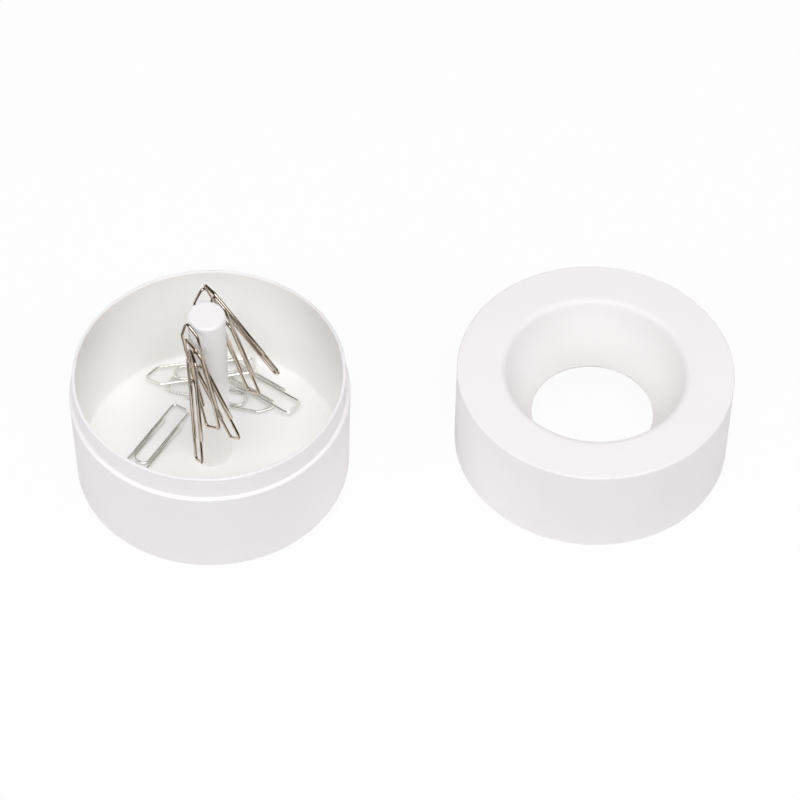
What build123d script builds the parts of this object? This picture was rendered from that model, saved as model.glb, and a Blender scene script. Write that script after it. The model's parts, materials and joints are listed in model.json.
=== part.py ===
from build123d import *
import os
from math import asin, atan2, cos, radians, sin, sqrt

# Magnetic paper clip holder: a round cup with a magnetic post, its lid taken off and standing beside it,
# and wire clips on the post and on the cup's floor. Millimetres, +Z up. The origin is on the table under
# the middle of the cup, and the lid stands along +X.

# Cup
cup_radius = 40.3            # at the ledge, its widest
cup_draft = 0.5              # how much narrower the cup is at its foot
ledge_height = 31.3          # where the lid's edge lands
spigot_height = 7.9          # from the ledge to the rim
ledge_width = 1.2
spigot_wall = 1.0
floor_thickness = 1.6
floor_corner = 1.2           # inside radius between the floor and the wall
rim_rounding = 0.4
ledge_rounding = 0.35
foot_rounding = 0.8

# Non-slip pad under the cup
pad_radius = 33.0
pad_thickness = 0.9
pad_stand = 0.3              # how far the pad holds the cup off the table
pad_clearance = 0.2

# Post, magnets and screw
post_radius = 5.4
post_height = 64.0           # top of the post above the table
post_rounding = 0.8
sleeve_wall = 1.2
sleeve_cap = 1.2
core_clearance = 0.1
boss_height = 5.8            # boss inside the post's foot, above the floor
boss_web = 2.0               # thickness of the boss's top, which the screw pulls on
boss_wall = 0.95
magnet_radius = 4.0
magnet_thickness = 3.0
magnet_names = ["magnet_top", "magnet_middle", "magnet_bottom"]
magnet_rounding = 0.2
screw_radius = 1.5
screw_length = 12.0          # under the head
screw_hole_clearance = 0.25
screw_head_radius = 2.7
screw_head_height = 2.0
screw_head_rounding = 0.7
screw_point = 1.0
cross_width = 0.8            # cross recess in the screw's head
cross_length = 3.2
cross_depth = 1.1
pilot_radius = 1.3
pilot_spare = 2.0            # depth of the pilot hole past the screw's point
washer_radius = 3.0
washer_thickness = 0.5

# Lid
lid_height = 30.8
lid_step = 0.2               # how far the lid's side stands in from the cup's ledge
lid_wall = 2.0
lid_top = 2.0
lid_rounding = 0.6
socket_clearance = 0.15      # between the lid's socket and the cup's spigot
seat_clearance = 0.3         # above the spigot when the lid is on
mouth_radius = 26.4
mouth_rounding = 2.2
throat_radius = 17.4
throat_height = 10.5         # funnel's lower edge above the lid's underside
throat_rounding = 0.7
funnel_wall = 1.7
lid_gap = 30.9               # table between the cup and the lid

# Wire clips
clip_length = 33.0
clip_width = 7.6
wire_diameter = 0.9
leg_gap = 0.15               # between legs that lie side by side
point_length = 4.2
point_radius = 1.2
shoulder_radius = 2.2
flat_corner_radius = 1.3
inner_bend_setback = 8.4     # from the point to the inner bend
free_end_setback = 6.5       # from the flat end to both ends of the wire
lay_gap = 0.1                # under a clip that lies on the floor
stack_gap = 0.15             # between clips that lie on each other
wall_gap = 1.5               # between a clip's corners and the wall that it lies along

# Clips on the post: the bearing of the side that the clip lies against, how far its face tips up and its
# length slants from upright, then its point's place: sideways, below the post's top and off the post
hung_clips = {
    "hung_clip_left_inner": dict(bearing=217.1, tilt=0, slant=-41.2, shift=-1.9, drop=7.5, stand=0.4),
    "hung_clip_left_middle": dict(bearing=221.8, tilt=10.9, slant=-28.2, shift=-1.4, drop=0.1, stand=0.3),
    "hung_clip_left_outer": dict(bearing=195.3, tilt=9.4, slant=-35.8, shift=6.2, drop=5.7, stand=0.9),
    "hung_clip_right_inner": dict(
        bearing=39, tilt=0, slant=31, shift=3.7, drop=0.2, stand=0.2, flipped=True,
    ),
    "hung_clip_right_outer": dict(
        bearing=34.7, tilt=15.3, slant=56.5, shift=10, drop=1.4, stand=1.3, flipped=True,
    ),
    "hung_clip_back": dict(bearing=113.1, tilt=-4, slant=3.6, shift=-4.9, drop=4.2, stand=6.6),
}

# Clips on the floor: the bearing of the clip's point from the post, its distance in from the wall, the
# heading of its point, and the layers of clips under its flat end and its point
middle_clip = dict(bearing=40.8, inset=13.9, heading=340.8, flat_layers=0, point_layers=0)
right_clip = dict(bearing=87.4, inset=2.9, heading=137.1, flat_layers=2, point_layers=0)
# The one at the back lies along the wall, which only the bearing of its middle places
back_clip = dict(bearing=94.2, flat_layers=1.9, point_layers=1.1)
# The one on the left has its flat end beside the middle one: that far behind its point and off its leg
left_clip = dict(heading=234.7, behind=25.3, aside=3.83)

# Sizes that follow from the ones above
spigot_radius = cup_radius - ledge_width
inner_radius = spigot_radius - spigot_wall
rim_height = ledge_height + spigot_height
floor_height = pad_thickness + floor_thickness
sleeve_bore = post_radius - sleeve_wall
core_radius = sleeve_bore - core_clearance
boss_top = floor_height + boss_height
screw_seat = boss_top - boss_web
magnet_ceiling = post_height - sleeve_cap
core_top = magnet_ceiling - len(magnet_names) * magnet_thickness
screw_head_top = screw_seat - washer_thickness
lid_radius = cup_radius - lid_step
socket_radius = spigot_radius + socket_clearance
socket_depth = spigot_height + seat_clearance
lid_axis = cup_radius + lid_gap + lid_radius
wire_radius = wire_diameter / 2
leg_side = clip_width / 2 - wire_radius
inner_side = leg_side - wire_diameter - leg_gap
clip_reach = clip_length - wire_diameter


def turned(outline):
    """Solid of revolution about Z. Each corner of the outline is (radius, height, rounding)."""
    corners = [(radius, height) for radius, height, rounding in outline]
    roundings = [rounding for radius, height, rounding in outline]
    section = make_face(FilletPolyline(*corners, radius=roundings, close=True))
    return revolve(Plane.XZ * section, axis=Axis.Z)


def disc(radius, low, high, rounding=0):
    """Solid cylinder on the Z axis, with its outer edges rounded."""
    return turned([(0, low, 0), (radius, low, rounding), (radius, high, rounding), (0, high, 0)])


def rod(radius, low, high):
    """Plain cutter on the Z axis."""
    return Pos(0, 0, low) * Cylinder(radius, high - low, align=(Align.CENTER, Align.CENTER, Align.MIN))


def cup_shell():
    shell = turned([
        (0, pad_thickness, 0),
        (pad_radius + pad_clearance, pad_thickness, 0),
        (pad_radius + pad_clearance, pad_stand, 0),
        (cup_radius - cup_draft, pad_stand, foot_rounding),
        (cup_radius, ledge_height, ledge_rounding),
        (spigot_radius, ledge_height, 0),
        (spigot_radius, rim_height, rim_rounding),
        (inner_radius, rim_height, rim_rounding),
        (inner_radius, floor_height, floor_corner),
        (core_radius, floor_height, 0),
        (core_radius, boss_top, 0),
        (0, boss_top, 0),
    ])
    shell -= rod(core_radius - boss_wall, pad_thickness, screw_seat)
    return shell - rod(screw_radius + screw_hole_clearance, screw_seat, boss_top)


def foot_pad():
    return disc(pad_radius, 0, pad_thickness)


def post_sleeve():
    return turned([
        (sleeve_bore, floor_height, 0),
        (post_radius, floor_height, 0),
        (post_radius, post_height, post_rounding),
        (0, post_height, 0),
        (0, magnet_ceiling, 0),
        (sleeve_bore, magnet_ceiling, 0),
    ])


def post_core():
    pilot_top = screw_head_top + screw_length + pilot_spare
    return disc(core_radius, boss_top, core_top) - rod(pilot_radius, boss_top, pilot_top)


def magnet(place):
    high = magnet_ceiling - place * magnet_thickness
    return disc(magnet_radius, high - magnet_thickness, high, magnet_rounding)


def post_screw():
    end = screw_head_top + screw_length
    screw = turned([
        (0, screw_head_top - screw_head_height, 0),
        (screw_head_radius, screw_head_top - screw_head_height, screw_head_rounding),
        (screw_head_radius, screw_head_top, 0),
        (screw_radius, screw_head_top, 0),
        (screw_radius, end - screw_point, 0),
        (0, end, 0),
    ])
    slot = Box(cross_length, cross_width, cross_depth, align=(Align.CENTER, Align.CENTER, Align.MIN))
    cross = slot + Rot(0, 0, 90) * slot
    return screw - Pos(0, 0, screw_head_top - screw_head_height) * cross


def screw_washer():
    washer = disc(washer_radius, screw_head_top, screw_seat)
    return washer - rod(screw_radius + screw_hole_clearance, screw_head_top, screw_seat)


def lid_shell():
    ceiling = lid_height - lid_top
    slope = (mouth_radius - throat_radius) / (lid_height - throat_height)
    wall_across = funnel_wall * sqrt(1 + slope ** 2)
    funnel_at_ceiling = throat_radius + wall_across + slope * (ceiling - throat_height)
    shell = turned([
        (socket_radius, 0, 0),
        (lid_radius, 0, 0),
        (lid_radius, lid_height, lid_rounding),
        (mouth_radius, lid_height, mouth_rounding),
        (throat_radius, throat_height, throat_rounding),
        (throat_radius + wall_across, throat_height, throat_rounding),
        (funnel_at_ceiling, ceiling, 0),
        (lid_radius - lid_wall, ceiling, 0),
        (lid_radius - lid_wall, socket_depth, 0),
        (socket_radius, socket_depth, 0),
    ])
    return Pos(lid_axis, 0, 0) * shell


def clip_path():
    """Middle line of a clip flat on XY: flat end at the origin, point towards +X, whole leg on +Y."""
    half_point = atan2(leg_side, point_length)
    corner = clip_reach + point_radius * (1 / sin(half_point) - 1)
    inner_reach = clip_reach - inner_bend_setback
    return FilletPolyline(
        (free_end_setback, -leg_side),
        (corner - point_length, -leg_side),
        (corner, 0),
        (corner - point_length, leg_side),
        (0, leg_side),
        (0, -inner_side),
        (inner_reach, -inner_side),
        (inner_reach, inner_side),
        (free_end_setback, inner_side),
        radius=[
            shoulder_radius,
            point_radius,
            shoulder_radius,
            flat_corner_radius,
            flat_corner_radius,
            inner_side - leg_gap,
            inner_side - leg_gap,
        ],
    )


def wire_clip():
    path = clip_path()
    start = Plane(origin=path @ 0, z_dir=path % 0)
    return sweep(start * Circle(wire_radius), path=path)


def compass(bearing):
    """Level direction at a bearing from +X."""
    return Vector(cos(radians(bearing)), sin(radians(bearing)), 0)


def lay_along(clip, flat_end, along, face, flipped):
    """Puts a clip with its flat end at a point, its length along one way and its face towards another."""
    facing = -face if flipped else face
    return Plane(origin=flat_end, x_dir=along, z_dir=facing) * clip


def hung_clip(clip, bearing, tilt, slant, shift, drop, stand, flipped=False):
    """A clip against the post, placed by its point, which the magnet holds."""
    outward = compass(bearing)
    across = compass(bearing + 90)
    face = outward * cos(radians(tilt)) + Vector(0, 0, sin(radians(tilt)))
    along = face.cross(across) * cos(radians(slant)) + across * sin(radians(slant))
    point = outward * (post_radius + wire_radius + stand) + across * shift + Vector(0, 0, post_height - drop)
    return lay_along(clip, point - along * clip_reach, along, face, flipped)


def resting_clip(clip, point_place, heading, flat_layers=0, point_layers=0, flipped=False):
    """A clip that lies on the cup's floor or on other clips, placed by its point seen from above."""
    step = wire_diameter + stack_gap
    rise = asin((point_layers - flat_layers) * step / clip_reach)
    level = compass(heading)
    along = level * cos(rise) + Vector(0, 0, sin(rise))
    face = Vector(0, 0, cos(rise)) - level * sin(rise)
    lift = floor_height + lay_gap + wire_radius + point_layers * step
    return lay_along(clip, point_place + Vector(0, 0, lift) - along * clip_reach, along, face, flipped)


def place_from_wall(bearing, inset):
    return compass(bearing) * (inner_radius - inset)


def loose_clip(clip, bearing, inset, heading, flat_layers, point_layers):
    return resting_clip(clip, place_from_wall(bearing, inset), heading, flat_layers, point_layers)


def clip_beside(clip, neighbour, heading, behind, aside):
    """A clip flat on the floor, its back up, whose flat end is to the right of a neighbour's length."""
    point = place_from_wall(neighbour["bearing"], neighbour["inset"])
    right = compass(neighbour["heading"] - 90) * (clip_width / 2 + aside)
    flat_end = point - compass(neighbour["heading"]) * behind + right
    return resting_clip(clip, flat_end + compass(heading) * clip_reach, heading, flipped=True)


def clip_along_wall(clip, bearing, flat_layers, point_layers):
    """A clip square to the way in to the post, as near the wall as the corner of its flat end allows."""
    corner_distance = sqrt((inner_radius - wall_gap) ** 2 - (clip_length / 2) ** 2)
    distance = corner_distance - inner_side - wire_radius
    place = compass(bearing) * distance + compass(bearing + 90) * (clip_reach / 2)
    return resting_clip(clip, place, bearing + 90, flat_layers, point_layers)


def all_pieces():
    pieces = {
        "cup_shell": cup_shell(),
        "foot_pad": foot_pad(),
        "post_sleeve": post_sleeve(),
        "post_core": post_core(),
        "post_screw": post_screw(),
        "screw_washer": screw_washer(),
        "lid_shell": lid_shell(),
    }
    for place, name in enumerate(magnet_names):
        pieces[name] = magnet(place)
    clip = wire_clip()
    for name, pose in hung_clips.items():
        pieces[name] = hung_clip(clip, **pose)
    pieces["loose_clip_left"] = clip_beside(clip, middle_clip, **left_clip)
    pieces["loose_clip_middle"] = loose_clip(clip, **middle_clip)
    pieces["loose_clip_right"] = loose_clip(clip, **right_clip)
    pieces["loose_clip_back"] = clip_along_wall(clip, **back_clip)
    return pieces


os.makedirs("parts", exist_ok=True)
for node, piece in all_pieces().items():
    export_step(piece, f"parts/{node}.step")
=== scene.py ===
import json
from math import asin, atan2, cos, pi, radians, sin, sqrt, tan

import bpy
from mathutils import Matrix, Vector


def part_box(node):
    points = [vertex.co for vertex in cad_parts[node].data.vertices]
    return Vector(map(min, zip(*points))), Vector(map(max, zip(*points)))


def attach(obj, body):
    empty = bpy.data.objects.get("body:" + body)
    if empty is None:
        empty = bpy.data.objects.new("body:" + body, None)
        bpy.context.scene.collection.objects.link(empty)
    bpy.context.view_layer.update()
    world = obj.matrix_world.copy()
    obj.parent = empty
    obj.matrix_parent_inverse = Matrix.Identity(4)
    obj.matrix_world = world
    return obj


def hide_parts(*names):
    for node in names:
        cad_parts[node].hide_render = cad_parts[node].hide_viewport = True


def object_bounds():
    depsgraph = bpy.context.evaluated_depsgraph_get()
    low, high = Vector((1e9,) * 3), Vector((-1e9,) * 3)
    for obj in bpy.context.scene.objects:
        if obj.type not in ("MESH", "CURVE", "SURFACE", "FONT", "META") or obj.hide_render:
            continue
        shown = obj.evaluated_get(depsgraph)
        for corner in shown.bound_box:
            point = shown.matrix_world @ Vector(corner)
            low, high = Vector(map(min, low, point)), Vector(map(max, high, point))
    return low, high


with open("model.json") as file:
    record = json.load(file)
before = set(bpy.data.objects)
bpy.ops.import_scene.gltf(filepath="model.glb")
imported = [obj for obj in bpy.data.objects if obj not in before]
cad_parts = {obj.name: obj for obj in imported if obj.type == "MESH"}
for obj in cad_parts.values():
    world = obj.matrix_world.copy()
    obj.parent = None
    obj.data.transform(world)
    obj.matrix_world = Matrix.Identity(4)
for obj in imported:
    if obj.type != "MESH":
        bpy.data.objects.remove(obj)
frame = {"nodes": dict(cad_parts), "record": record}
cad_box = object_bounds()
MM = 0.001

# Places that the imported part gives
post_low, post_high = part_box("post_sleeve")
post_radius = (post_high.x - post_low.x) / 2
post_top = post_high.z
floor_top = post_low.z
mount_sizes = {mount["name"]: mount["dims"] for mount in frame["record"]["mounts"]}
spigot_radius = mount_sizes["cup_spigot"]["r_mm"] * MM

# Cup's wall, the clips and the gaps around them, as in the part
spigot_wall = 1.0 * MM
inner_radius = spigot_radius - spigot_wall
clip_length = 33 * MM
clip_width = 7.6 * MM
wire_radius = 0.45 * MM
leg_gap = 0.15 * MM
point_length = 4.2 * MM
point_radius = 1.2 * MM
shoulder_radius = 2.2 * MM
flat_corner_radius = 1.3 * MM
inner_bend_setback = 8.4 * MM
free_end_setback = 6.5 * MM
lay_gap = 0.1 * MM
stack_gap = 0.15 * MM
wall_gap = 1.5 * MM
leg_side = clip_width / 2 - wire_radius
inner_side = leg_side - 2 * wire_radius - leg_gap
clip_reach = clip_length - 2 * wire_radius

# Mesh of the wire: corners of its ring, turn from ring to ring in a bend, rounding of the cut ends,
# and the sharpest edge that is shaded as round
wire_sides = 16
bend_step = pi / 24
burr = 0.1 * MM
smooth_angle = radians(40)

# Clips on the post: the bearing of the side that the clip lies against, how far its face tips up and
# its length slants from upright, then its point's place in millimetres: sideways, below the post's
# top, off the post
hung_clips = {
    "hung_clip_left_inner": dict(
        bearing=217.1, tilt=0, slant=-41.2, shift=-1.9, drop=7.5, stand=0.4,
    ),
    "hung_clip_left_middle": dict(
        bearing=221.8, tilt=10.9, slant=-28.2, shift=-1.4, drop=0.1, stand=0.3,
    ),
    "hung_clip_left_outer": dict(
        bearing=195.3, tilt=9.4, slant=-35.8, shift=6.2, drop=5.7, stand=0.9,
    ),
    "hung_clip_right_inner": dict(
        bearing=39, tilt=0, slant=31, shift=3.7, drop=0.2, stand=0.2, flipped=True,
    ),
    "hung_clip_right_outer": dict(
        bearing=34.7, tilt=15.3, slant=56.5, shift=10, drop=1.4, stand=1.3, flipped=True,
    ),
    "hung_clip_back": dict(
        bearing=113.1, tilt=-4, slant=3.6, shift=-4.9, drop=4.2, stand=6.6,
    ),
}

# Clips on the floor: the bearing of the clip's point from the post, its distance in from the wall in
# millimetres, the heading of its point, and the layers of clips under its flat end and its point.
# The left clip is placed from the middle clip, in millimetres behind its point and aside of it.
middle_clip = dict(bearing=40.8, inset=13.9, heading=340.8, flat_layers=0, point_layers=0)
right_clip = dict(bearing=87.4, inset=2.9, heading=137.1, flat_layers=2, point_layers=0)
back_clip = dict(bearing=94.2, flat_layers=1.9, point_layers=1.1)
left_clip = dict(heading=234.7, behind=25.3, aside=3.83)

# Photograph's camera
camera_place = Vector((-4.0108, -630.7359, 792.238)) * MM
camera_heading = -5.3191
camera_pitch = 50.5676
camera_roll = 0.9135
focal_pixels = 3444.84
photo_pixels = 800
sensor_width = 36.0

# Light on matt surfaces: its colour, and its strength overhead, which falls to nothing at the horizon
soft_light = (1.022, 0.995, 1.03)
zenith_light = 0.56

# What metal mirrors: a white sweep up to a height, a brown room, and a window that fades at its edge
sweep_top = (0.115, 0.125)
room_brown = (0.05, 0.036, 0.026)
window_side = Vector((0, -0.62, 0.78)).normalized()
window_edge = (0.8, 0.92)

# Floor: its grey as a table, and how much of what the camera sees is bare white
floor_size = 6
table_grey = (0.82, 0.82, 0.82)
bare_white = 0.95

# Band that most of a noise falls in
noise_low, noise_high = 0.3, 0.7


# Node helpers

def new_material(name):
    material = bpy.data.materials.new(name)
    material.use_nodes = True
    nodes = material.node_tree.nodes
    return material, material.node_tree, nodes["Principled BSDF"]


def add(tree, kind, **settings):
    made = tree.nodes.new(kind)
    for key, value in settings.items():
        setattr(made, key, value)
    return made


def noise(tree, coordinates, scale, detail):
    made = add(tree, "ShaderNodeTexNoise")
    made.inputs["Scale"].default_value = scale
    made.inputs["Detail"].default_value = detail
    tree.links.new(coordinates, made.inputs["Vector"])
    return made.outputs["Fac"]


def ramp(tree, value, low, high, first, last):
    """Spreads a value from low to high over the colours first to last."""
    made = add(tree, "ShaderNodeValToRGB")
    made.color_ramp.elements[0].position = low
    made.color_ramp.elements[1].position = high
    made.color_ramp.elements[0].color = (*first, 1)
    made.color_ramp.elements[1].color = (*last, 1)
    tree.links.new(value, made.inputs["Fac"])
    return made.outputs["Color"]


def spread(tree, value, low, high, first, last):
    """Spreads a value from low to high over the numbers first to last."""
    made = add(tree, "ShaderNodeMapRange")
    sockets = ("From Min", "From Max", "To Min", "To Max")
    for socket, number in zip(sockets, (low, high, first, last)):
        made.inputs[socket].default_value = number
    tree.links.new(value, made.inputs["Value"])
    return made.outputs["Result"]


def bump(tree, height, strength, distance, before=None):
    made = add(tree, "ShaderNodeBump")
    made.inputs["Strength"].default_value = strength
    made.inputs["Distance"].default_value = distance
    tree.links.new(height, made.inputs["Height"])
    if before is not None:
        tree.links.new(before, made.inputs["Normal"])
    return made.outputs["Normal"]


def stretched(tree, coordinates, scale, turn=(0, 0, 0)):
    made = add(tree, "ShaderNodeMapping")
    made.inputs["Scale"].default_value = scale
    made.inputs["Rotation"].default_value = turn
    tree.links.new(coordinates, made.inputs["Vector"])
    return made.outputs["Vector"]


def object_place(tree):
    return add(tree, "ShaderNodeTexCoord").outputs["Object"]


# Materials

def moulded_white():
    """White moulding with a fine spark-eroded grain, faint cloudiness and hairline rubs."""
    material, tree, shader = new_material("moulded_white")
    place = object_place(tree)
    cloud = noise(tree, place, scale=55, detail=4)
    shaded, clear = (0.961, 0.957, 0.936), (0.973, 0.971, 0.954)
    colour = ramp(tree, cloud, noise_low, noise_high, shaded, clear)
    tree.links.new(colour, shader.inputs["Base Color"])
    rub_lines = stretched(tree, place, scale=(60, 1400, 60), turn=(0, 0, 0.7))
    rubs = noise(tree, rub_lines, scale=1, detail=2)
    rough = spread(tree, rubs, low=0.35, high=0.7, first=0.7, last=0.58)
    tree.links.new(rough, shader.inputs["Roughness"])
    grain = noise(tree, place, scale=2200, detail=2)
    shallow = bump(tree, cloud, strength=0.08, distance=0.2 * MM)
    fine = bump(tree, grain, strength=0.1, distance=0.04 * MM, before=shallow)
    tree.links.new(fine, shader.inputs["Normal"])
    shader.inputs["IOR"].default_value = 1.49
    return material


def drawn_wire(name, dark, pale, smooth, dull):
    """Plated wire with drawing lines and streaks along it from a dark to a pale colour: tarnish, and
    where the dark is near black, painted shade and painted reflection.
    """
    material, tree, shader = new_material(name)
    straight = add(tree, "ShaderNodeAttribute", attribute_name="straight_wire").outputs["Vector"]
    lines = noise(tree, stretched(tree, straight, scale=(9000, 9000, 90)), scale=1, detail=2)
    streaks = noise(tree, stretched(tree, straight, scale=(1500, 1500, 60)), scale=1, detail=2)
    colour = ramp(tree, streaks, low=0.36, high=0.53, first=dark, last=pale)
    tree.links.new(colour, shader.inputs["Base Color"])
    rough = spread(tree, lines, noise_low, noise_high, smooth, dull)
    tree.links.new(rough, shader.inputs["Roughness"])
    drawn = bump(tree, lines, strength=0.15, distance=0.02 * MM)
    tree.links.new(drawn, shader.inputs["Normal"])
    shader.inputs["Metallic"].default_value = 1.0
    return material


def soft_pad():
    material, tree, shader = new_material("soft_pad")
    cells = noise(tree, object_place(tree), scale=1500, detail=3)
    colour = ramp(tree, cells, noise_low, noise_high, (0.25, 0.25, 0.245), (0.35, 0.35, 0.34))
    tree.links.new(colour, shader.inputs["Base Color"])
    pitted = bump(tree, cells, strength=0.4, distance=0.1 * MM)
    tree.links.new(pitted, shader.inputs["Normal"])
    shader.inputs["Roughness"].default_value = 0.9
    return material


def core_plastic():
    material, tree, shader = new_material("core_plastic")
    flow_lines = stretched(tree, object_place(tree), scale=(220, 220, 30))
    flow = noise(tree, flow_lines, scale=1, detail=4)
    colour = ramp(tree, flow, noise_low, noise_high, (0.56, 0.56, 0.54), (0.68, 0.68, 0.66))
    tree.links.new(colour, shader.inputs["Base Color"])
    wavy = bump(tree, flow, strength=0.15, distance=0.1 * MM)
    tree.links.new(wavy, shader.inputs["Normal"])
    shader.inputs["Roughness"].default_value = 0.55
    return material


def plated_metal(name, dark, pale, smooth, dull):
    """Plated metal with faint wear: magnets, screw and washer."""
    material, tree, shader = new_material(name)
    wear = noise(tree, object_place(tree), scale=600, detail=4)
    colour = ramp(tree, wear, noise_low, noise_high, dark, pale)
    tree.links.new(colour, shader.inputs["Base Color"])
    rough = spread(tree, wear, noise_low, noise_high, dull, smooth)
    tree.links.new(rough, shader.inputs["Roughness"])
    shader.inputs["Metallic"].default_value = 1.0
    return material


def dress(nodes, material):
    for name in nodes:
        slots = frame["nodes"][name].data.materials
        slots.clear()
        slots.append(material)


# Wire clips

def clip_corners():
    """Corners and bend radii of a clip's middle line.

    The flat end is at the origin, the point towards +X and the whole leg on +Y.
    """
    half_point = atan2(leg_side, point_length)
    corner = clip_reach + point_radius * (1 / sin(half_point) - 1)
    inner_reach = clip_reach - inner_bend_setback
    inner_bend = inner_side - leg_gap
    places = [
        (free_end_setback, -leg_side),
        (corner - point_length, -leg_side),
        (corner, 0),
        (corner - point_length, leg_side),
        (0, leg_side),
        (0, -inner_side),
        (inner_reach, -inner_side),
        (inner_reach, inner_side),
        (free_end_setback, inner_side),
    ]
    radii = [
        shoulder_radius,
        point_radius,
        shoulder_radius,
        flat_corner_radius,
        flat_corner_radius,
        inner_bend,
        inner_bend,
    ]
    return [Vector((x, y, 0)) for x, y in places], radii


def draw_out(run):
    bpy.ops.mesh.extrude_edges_move(TRANSFORM_OT_translate={"value": run})


def bent_wire():
    """A ring of the wire's size, drawn out along each leg and spun round each bend."""
    corners, radii = clip_corners()
    legs = [end - start for start, end in zip(corners, corners[1:])]
    bpy.ops.object.select_all(action="DESELECT")
    bpy.ops.mesh.primitive_circle_add(
        vertices=wire_sides, radius=wire_radius, location=corners[0], rotation=(0, pi / 2, 0),
    )
    clip = bpy.context.object
    bpy.ops.object.transform_apply(location=True, rotation=True)
    bpy.ops.object.mode_set(mode="EDIT")
    bpy.ops.mesh.select_mode(type="EDGE")
    bpy.ops.mesh.select_all(action="SELECT")
    bent = 0
    for leg, following, corner, radius in zip(legs, legs[1:], corners[1:], radii):
        way = leg.normalized()
        turn = atan2(leg.cross(following).z, leg.dot(following))
        trim = radius * tan(abs(turn) / 2)
        draw_out(way * (leg.length - bent - trim))
        inward = Vector((-way.y, way.x, 0)) * (radius if turn > 0 else -radius)
        steps = max(2, round(abs(turn) / bend_step))
        centre = corner - way * trim + inward
        bpy.ops.mesh.spin(steps=steps, angle=-turn, center=centre, axis=(0, 0, 1))
        bent = trim
    draw_out(legs[-1].normalized() * (legs[-1].length - bent))
    bpy.ops.object.mode_set(mode="OBJECT")
    return clip


def keep_straight_places(clip):
    """Keeps where each point lay in the wire before it was bent, for lines that follow the wire."""
    points = clip.data.vertices
    straight = clip.data.attributes.new("straight_wire", "FLOAT_VECTOR", "POINT")
    angles = [2 * pi * side / wire_sides for side in range(wire_sides)]
    ring = [(wire_radius * cos(angle), wire_radius * sin(angle)) for angle in angles]
    along = 0
    last = points[0].co
    for first in range(0, len(points), wire_sides):
        along += (points[first].co - last).length
        last = points[first].co
        for side, place in enumerate(ring):
            straight.data[first + side].vector = (*place, along)


def close_cut_ends(clip):
    bpy.ops.object.mode_set(mode="EDIT")
    bpy.ops.mesh.select_all(action="SELECT")
    bpy.ops.mesh.fill_holes(sides=0)
    bpy.ops.mesh.select_mode(type="FACE")
    bpy.ops.mesh.select_all(action="DESELECT")
    bpy.ops.object.mode_set(mode="OBJECT")
    for face in clip.data.polygons:
        face.select = len(face.vertices) == wire_sides
    bpy.ops.object.mode_set(mode="EDIT")
    bpy.ops.mesh.bevel(offset=burr, segments=2, affect="EDGES")
    bpy.ops.mesh.select_all(action="SELECT")
    bpy.ops.mesh.normals_make_consistent(inside=False)
    bpy.ops.object.mode_set(mode="OBJECT")
    bpy.ops.object.shade_smooth_by_angle(angle=smooth_angle)


def wire_clip():
    clip = bent_wire()
    keep_straight_places(clip)
    close_cut_ends(clip)
    return clip


def compass(bearing):
    """Level direction at a bearing from +X."""
    return Vector((cos(radians(bearing)), sin(radians(bearing)), 0))


def laid_along(flat_end, along, face, flipped):
    """Place of a clip by its flat end, the way its length runs and the way its face looks."""
    facing = -face if flipped else face
    turn = Matrix((along, facing.cross(along), facing)).transposed()
    return Matrix.Translation(flat_end) @ turn.to_4x4()


def hung_place(bearing, tilt, slant, shift, drop, stand, flipped=False):
    """A clip against the post, placed by its point, which the magnet holds."""
    outward = compass(bearing)
    across = compass(bearing + 90)
    face = outward * cos(radians(tilt)) + Vector((0, 0, sin(radians(tilt))))
    along = face.cross(across) * cos(radians(slant)) + across * sin(radians(slant))
    point = outward * (post_radius + wire_radius + stand * MM) + across * shift * MM
    point.z = post_top - drop * MM
    return laid_along(point - along * clip_reach, along, face, flipped)


def resting_place(point, heading, flat_layers=0, point_layers=0, flipped=False):
    """A clip that lies on the cup's floor or on other clips, placed by its point seen from above."""
    step = 2 * wire_radius + stack_gap
    rise = asin((point_layers - flat_layers) * step / clip_reach)
    level = compass(heading)
    along = level * cos(rise) + Vector((0, 0, sin(rise)))
    face = Vector((0, 0, cos(rise))) - level * sin(rise)
    lift = Vector((0, 0, floor_top + lay_gap + wire_radius + point_layers * step))
    return laid_along(point + lift - along * clip_reach, along, face, flipped)


def place_from_wall(bearing, inset):
    return compass(bearing) * (inner_radius - inset * MM)


def loose_place(bearing, inset, heading, flat_layers, point_layers):
    return resting_place(place_from_wall(bearing, inset), heading, flat_layers, point_layers)


def place_beside(neighbour, heading, behind, aside):
    """A clip flat on the floor, its back up, whose flat end is to the right of a neighbour's length."""
    point = place_from_wall(neighbour["bearing"], neighbour["inset"])
    right = compass(neighbour["heading"] - 90) * (clip_width / 2 + aside * MM)
    flat_end = point - compass(neighbour["heading"]) * behind * MM + right
    return resting_place(flat_end + compass(heading) * clip_reach, heading, flipped=True)


def place_along_wall(bearing, flat_layers, point_layers):
    """A clip square to the way in to the post, as near the wall as its flat end's corner allows."""
    corner_distance = sqrt((inner_radius - wall_gap) ** 2 - (clip_length / 2) ** 2)
    distance = corner_distance - inner_side - wire_radius
    point = compass(bearing) * distance + compass(bearing + 90) * (clip_reach / 2)
    return resting_place(point, bearing + 90, flat_layers, point_layers)


def clip_places():
    places = {node: hung_place(**pose) for node, pose in hung_clips.items()}
    places["loose_clip_left"] = place_beside(middle_clip, **left_clip)
    places["loose_clip_middle"] = loose_place(**middle_clip)
    places["loose_clip_right"] = loose_place(**right_clip)
    places["loose_clip_back"] = place_along_wall(**back_clip)
    return places


def lay_clips(shaded_hung_wire, lit_loose_wire):
    """Models one clip, and copies it to each place."""
    model = wire_clip()
    for node, place in clip_places().items():
        clip = model.copy()
        clip.data = model.data.copy()
        clip.name = node + "_wire"
        clip.data.transform(place)
        # Clips on the post get the wire with painted shade, clips on the floor the wire with painted
        # light
        clip.data.materials.append(shaded_hung_wire if node in hung_clips else lit_loose_wire)
        bpy.context.scene.collection.objects.link(clip)
        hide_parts(node)
        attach(clip, node)
    bpy.data.objects.remove(model)


# Studio

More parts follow.
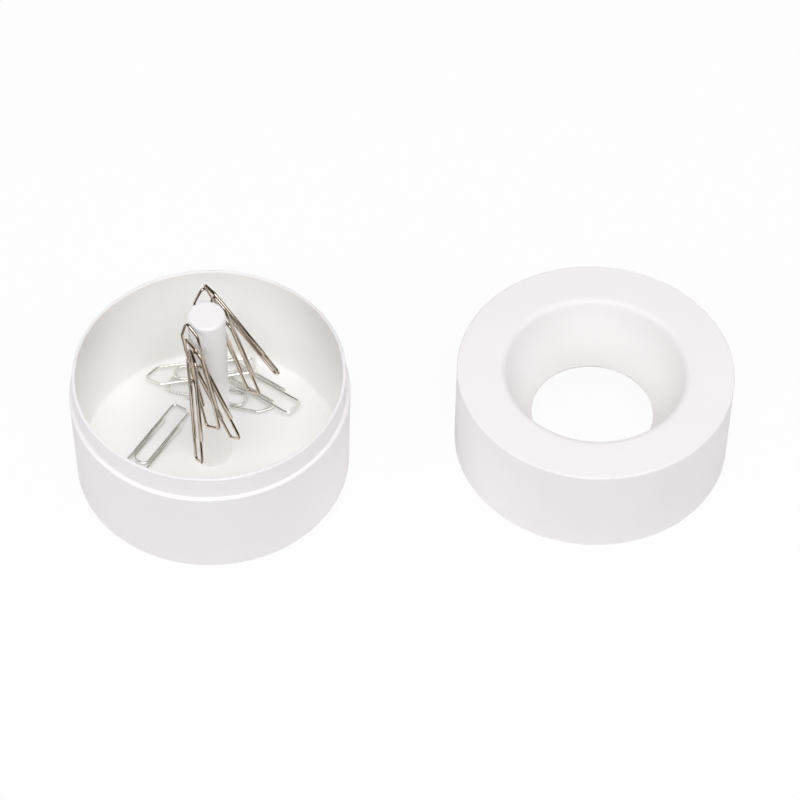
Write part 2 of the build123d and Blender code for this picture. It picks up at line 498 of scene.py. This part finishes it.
def straight_rays(tree):
    """1 for camera, glossy and transmission rays."""
    path = add(tree, "ShaderNodeLightPath")
    first = add(tree, "ShaderNodeMath", operation="MAXIMUM")
    second = add(tree, "ShaderNodeMath", operation="MAXIMUM")
    tree.links.new(path.outputs["Is Camera Ray"], first.inputs[0])
    tree.links.new(path.outputs["Is Glossy Ray"], first.inputs[1])
    tree.links.new(first.outputs[0], second.inputs[0])
    tree.links.new(path.outputs["Is Transmission Ray"], second.inputs[1])
    return second.outputs[0]


def mixed(tree, share, first, last):
    """Mixes two shaders by a share of the last, which is a number or a socket."""
    made = add(tree, "ShaderNodeMixShader")
    if isinstance(share, float):
        made.inputs["Fac"].default_value = share
    else:
        tree.links.new(share, made.inputs["Fac"])
    tree.links.new(first.outputs[0], made.inputs[1])
    tree.links.new(last.outputs[0], made.inputs[2])
    return made


def white_floor():
    """Nearly bare white to the camera and to metal, and a pale table to every other ray."""
    bpy.ops.object.select_all(action="DESELECT")
    bpy.ops.mesh.primitive_plane_add(size=floor_size)
    floor = bpy.context.object
    floor.name = "floor"
    material = bpy.data.materials.new("floor_white")
    material.use_nodes = True
    tree = material.node_tree
    tree.nodes.clear()
    table = add(tree, "ShaderNodeBsdfDiffuse")
    table.inputs["Color"].default_value = (*table_grey, 1)
    white = add(tree, "ShaderNodeEmission")
    seen = mixed(tree, bare_white, table, white)
    surface = mixed(tree, straight_rays(tree), table, seen)
    tree.links.new(surface.outputs[0], add(tree, "ShaderNodeOutputMaterial").inputs["Surface"])
    floor.data.materials.append(material)


def studio_world():
    """Soft light from above for matt surfaces, and a sweep, a room and a window for metal to mirror."""
    world = bpy.data.worlds.new("studio")
    bpy.context.scene.world = world
    world.use_nodes = True
    tree = world.node_tree
    tree.nodes.clear()
    way = add(tree, "ShaderNodeTexCoord").outputs["Generated"]
    parts = add(tree, "ShaderNodeSeparateXYZ")
    tree.links.new(way, parts.inputs[0])
    height = parts.outputs["Z"]
    window = add(tree, "ShaderNodeVectorMath", operation="DOT_PRODUCT")
    window.inputs[1].default_value = window_side
    tree.links.new(way, window.inputs[0])
    bright = add(tree, "ShaderNodeMath", operation="MAXIMUM")
    tree.links.new(spread(tree, height, *sweep_top, 1, 0), bright.inputs[0])
    tree.links.new(spread(tree, window.outputs["Value"], *window_edge, 0, 1), bright.inputs[1])
    room = add(tree, "ShaderNodeBackground")
    levels = ramp(tree, bright.outputs[0], 0, 1, room_brown, (1, 1, 1))
    tree.links.new(levels, room.inputs["Color"])
    dome = add(tree, "ShaderNodeBackground")
    dome.inputs["Color"].default_value = (*soft_light, 1)
    tree.links.new(spread(tree, height, 0, 1, 0, zenith_light), dome.inputs["Strength"])
    surface = mixed(tree, straight_rays(tree), dome, room)
    tree.links.new(surface.outputs[0], add(tree, "ShaderNodeOutputWorld").inputs["Surface"])


def softbox(name, place, size, watts, mirrored=True):
    """A lamp turned to the part's middle. Its place is measured from the floor beneath that middle."""
    light = bpy.data.lights.new(name, "AREA")
    light.shape = "RECTANGLE"
    light.size, light.size_y = size
    light.energy = watts
    light.color = soft_light
    lamp = bpy.data.objects.new(name, light)
    lamp.visible_glossy = mirrored
    bpy.context.scene.collection.objects.link(lamp)
    middle = (cad_box[0] + cad_box[1]) / 2
    spot = Vector((middle.x, 0, 0)) + Vector(place)
    aim = (middle - spot).to_track_quat("-Z", "Y")
    lamp.matrix_world = Matrix.Translation(spot) @ aim.to_matrix().to_4x4()


def photo_camera():
    data = bpy.data.cameras.new("photo_camera")
    data.sensor_width = sensor_width
    data.lens = focal_pixels / photo_pixels * sensor_width
    camera = bpy.data.objects.new("photo_camera", data)
    bpy.context.scene.collection.objects.link(camera)
    turn = Matrix.Rotation(radians(camera_heading), 4, "Z")
    lean = Matrix.Rotation(radians(90 - camera_pitch), 4, "X")
    roll = Matrix.Rotation(radians(camera_roll), 4, "Z")
    camera.matrix_world = Matrix.Translation(camera_place) @ turn @ lean @ roll
    bpy.context.scene.camera = camera


dress(["cup_shell", "post_sleeve", "lid_shell"], moulded_white())
dress(["foot_pad"], soft_pad())
dress(["post_core"], core_plastic())
magnet_nickel = plated_metal(
    "magnet_nickel", dark=(0.6, 0.57, 0.52), pale=(0.74, 0.72, 0.68), smooth=0.16, dull=0.28,
)
dress(["magnet_top", "magnet_middle", "magnet_bottom"], magnet_nickel)
zinc_steel = plated_metal(
    "zinc_steel", dark=(0.5, 0.5, 0.5), pale=(0.64, 0.64, 0.65), smooth=0.3, dull=0.42,
)
dress(["post_screw", "screw_washer"], zinc_steel)
# Wire for the clips on the post: its dark brown colour and near-black streaks are painted shade and
# painted dark reflection, with some real tarnish among them
shaded_tarnished_wire = drawn_wire(
    "shaded_tarnished_wire", dark=(0.075, 0.05, 0.03), pale=(0.84, 0.76, 0.66), smooth=0.06, dull=0.12,
)
# The same wire for the clips on the floor, given a paler colour: painted light
lit_pale_wire = drawn_wire(
    "lit_pale_wire", dark=(0.77, 0.765, 0.73), pale=(0.95, 0.945, 0.915), smooth=0.2, dull=0.32,
)
lay_clips(shaded_tarnished_wire, lit_pale_wire)
white_floor()
studio_world()
softbox("overhead", (0, -0.48, 1.15), (0.9, 0.7), watts=6.4)
softbox("left_side", (-1.0, -0.5, 0.62), (0.6, 0.6), watts=3.7, mirrored=False)
softbox("right_side", (1.0, -0.5, 0.62), (0.6, 0.6), watts=3.0, mirrored=False)
softbox("back", (0, 1.0, 0.32), (0.6, 0.5), watts=1.1, mirrored=False)
photo_camera()
bpy.context.scene.view_settings.view_transform = "Standard"

# Enough bounces for the light between the cup's white walls
bpy.context.scene.cycles.max_bounces = 16
bpy.context.scene.cycles.diffuse_bounces = 12
